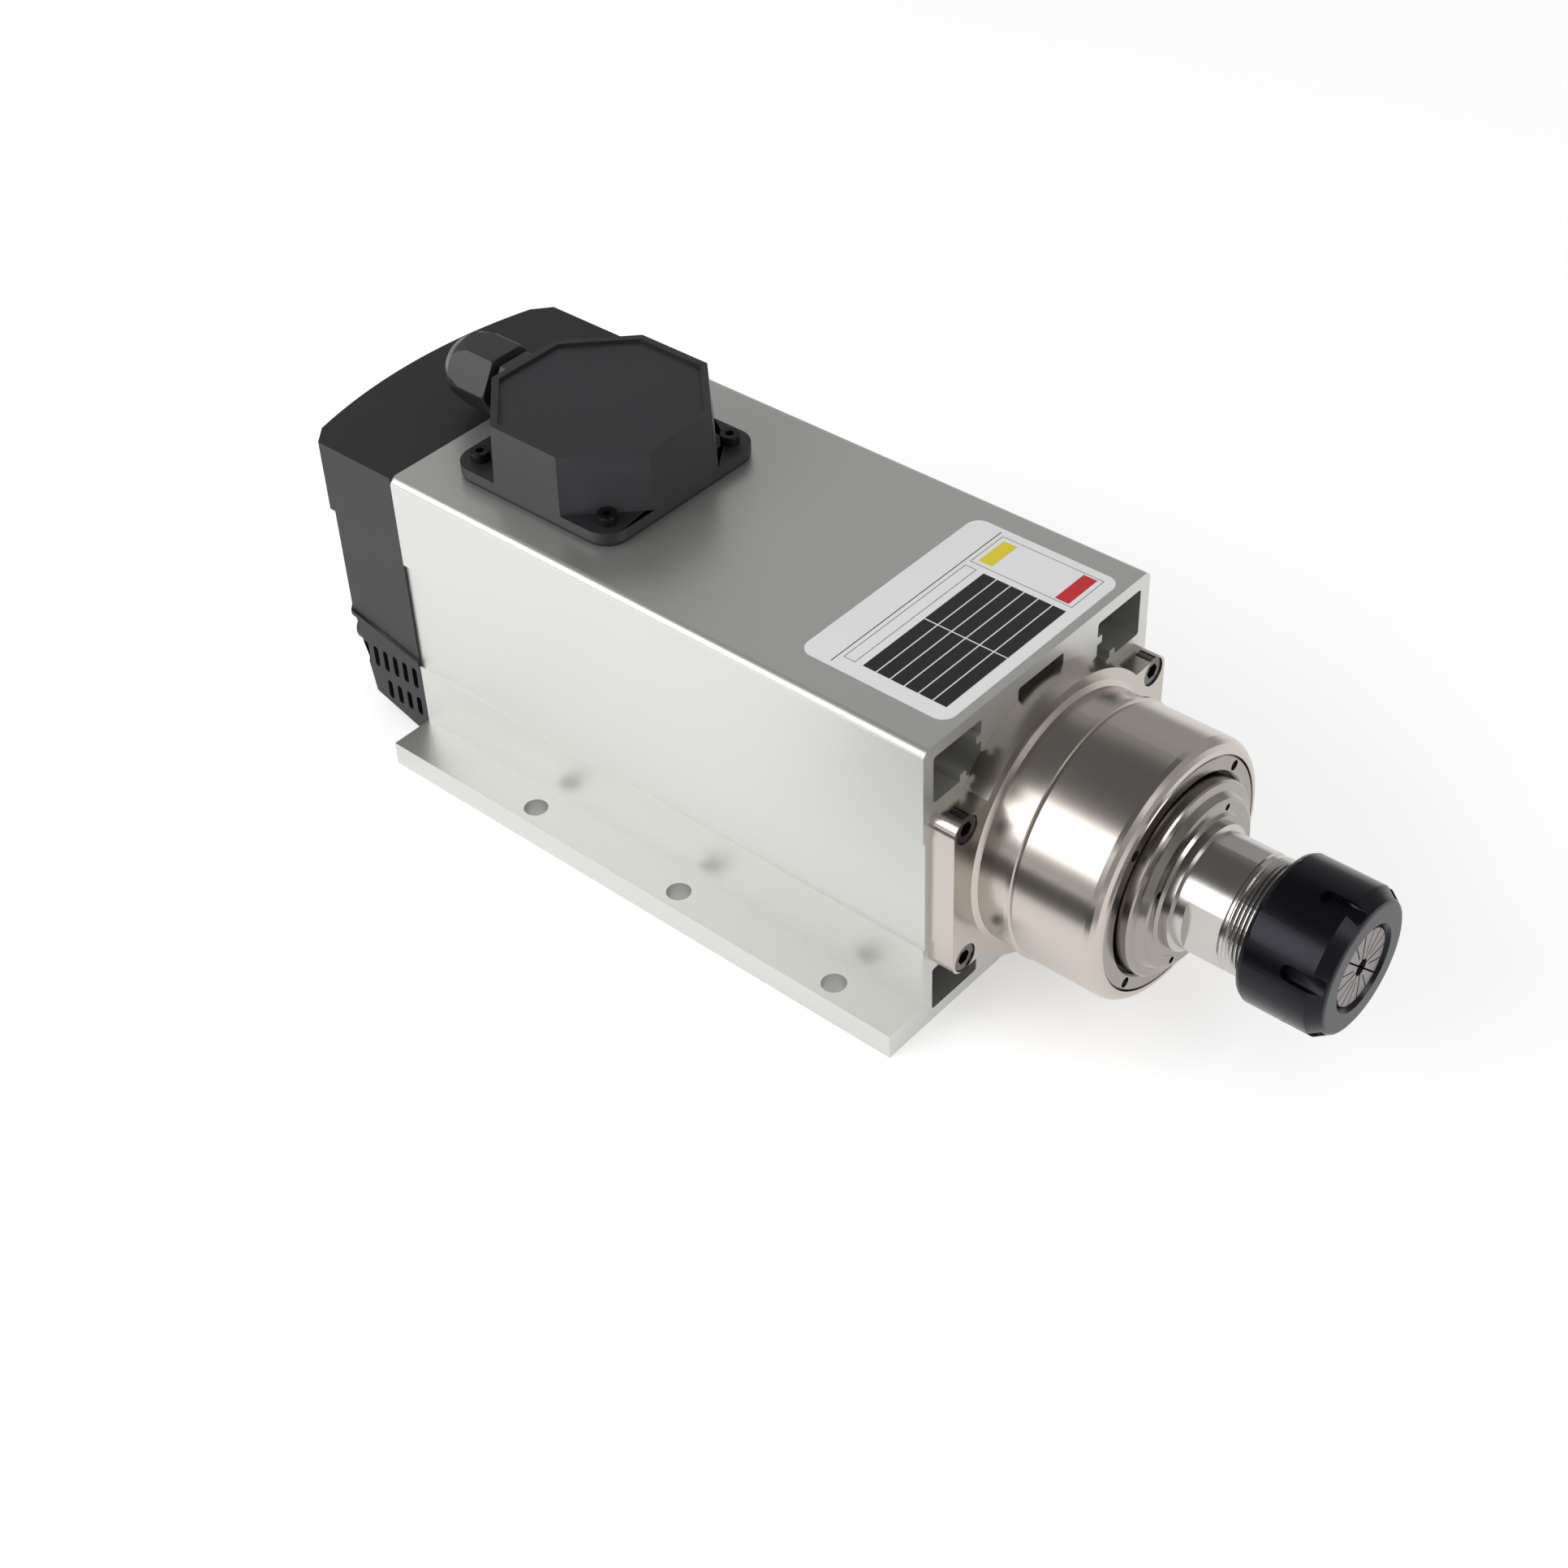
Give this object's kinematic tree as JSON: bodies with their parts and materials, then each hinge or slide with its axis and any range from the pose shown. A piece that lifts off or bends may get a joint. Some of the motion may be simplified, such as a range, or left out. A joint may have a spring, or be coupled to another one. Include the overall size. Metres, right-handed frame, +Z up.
{
  "type": "motor spindle",
  "caption": "Air-cooled motor spindle: flanged square extruded body, stepped round nose, spring collet and closing nut, terminal box with cable gland, moulded fan cover.",
  "frame": {"origin": "on the mounting face, at the centre of the base bolt pattern", "axes": "+X along the spindle axis out of the nose, +Z up from the mounting face, -Y the side nearest the viewer"},
  "size_m": [0.416, 0.155, 0.1485],
  "materials": {
    "body_extrusion": "brushed, anodised",
    "nose_housing": "nickel-plated, fine turned",
    "nose_screws": "black oxide",
    "front_bearing_cap": "ground",
    "cap_screws": "black oxide",
    "shaft": "ground",
    "labyrinth_ring": "turned",
    "front_outer_races": "ground",
    "front_inner_races": "ground",
    "front_ball_rings": "polished",
    "rear_outer_race": "ground",
    "rear_inner_race": "ground",
    "rear_ball_ring": "polished",
    "stator_core": "laminated",
    "stator_windings": "varnished copper",
    "rotor_core": "ground",
    "rotor_end_rings": "cast",
    "rear_end_shield": "machined",
    "wave_spring": "spring steel",
    "cover_posts": "zinc plated",
    "fan": "moulded",
    "fan_nut": "zinc plated",
    "fan_spacer": "turned",
    "fan_cover": "moulded, fine texture",
    "cover_screws": "black oxide",
    "terminal_gasket": "moulded",
    "terminal_box": "moulded",
    "terminal_screws": "black oxide",
    "terminal_block": "moulded",
    "gland_body": "moulded nylon",
    "gland_seal": "moulded",
    "gland_nut": "moulded nylon",
    "gland_locknut": "moulded nylon",
    "collet": "ground spring steel",
    "collet_nut": "black oxide, balanced",
    "rating_label": "printed film, left bare of words"
  },
  "bodies": {
    "housing": {"body_extrusion": "body_extrusion", "nose_housing": "nose_housing", "nose_screws": "nose_screws", "front_bearing_cap": "front_bearing_cap", "cap_screws": "cap_screws", "front_outer_races": "front_outer_races", "rear_outer_race": "rear_outer_race", "stator_core": "stator_core", "stator_windings": "stator_windings", "rear_end_shield": "rear_end_shield", "wave_spring": "wave_spring", "cover_posts": "cover_posts", "fan_cover": "fan_cover", "cover_screws": "cover_screws", "terminal_gasket": "terminal_gasket", "terminal_box": "terminal_box", "terminal_screws": "terminal_screws", "terminal_block": "terminal_block", "gland_body": "gland_body", "gland_seal": "gland_seal", "gland_nut": "gland_nut", "gland_locknut": "gland_locknut", "rating_label": "rating_label"},
    "rotor": {"shaft": "shaft", "labyrinth_ring": "labyrinth_ring", "front_inner_races": "front_inner_races", "front_ball_rings": "front_ball_rings", "rear_inner_race": "rear_inner_race", "rear_ball_ring": "rear_ball_ring", "rotor_core": "rotor_core", "rotor_end_rings": "rotor_end_rings", "fan": "fan", "fan_nut": "fan_nut", "fan_spacer": "fan_spacer"},
    "collet": {"collet": "collet"},
    "collet_nut": {"collet_nut": "collet_nut"}
  },
  "joints": [
    {"name": "rotor_spin", "type": "hinge", "parent": "housing", "child": "rotor", "pos_m": [0, 0, 0.06], "axis": [1, 0, 0], "continuous": true},
    {"name": "collet_travel", "type": "slide", "parent": "rotor", "child": "collet", "axis": [1, 0, 0], "range_m": [0, 0.003]},
    {"name": "nut_turn", "type": "hinge", "parent": "collet", "child": "collet_nut", "pos_m": [0.21, 0, 0.06], "axis": [1, 0, 0], "range_deg": [0, 720]}
  ],
  "couplings": [
    {"joint": "collet_travel", "follows": "nut_turn", "m_per_rad": 0.00023873}
  ]
}
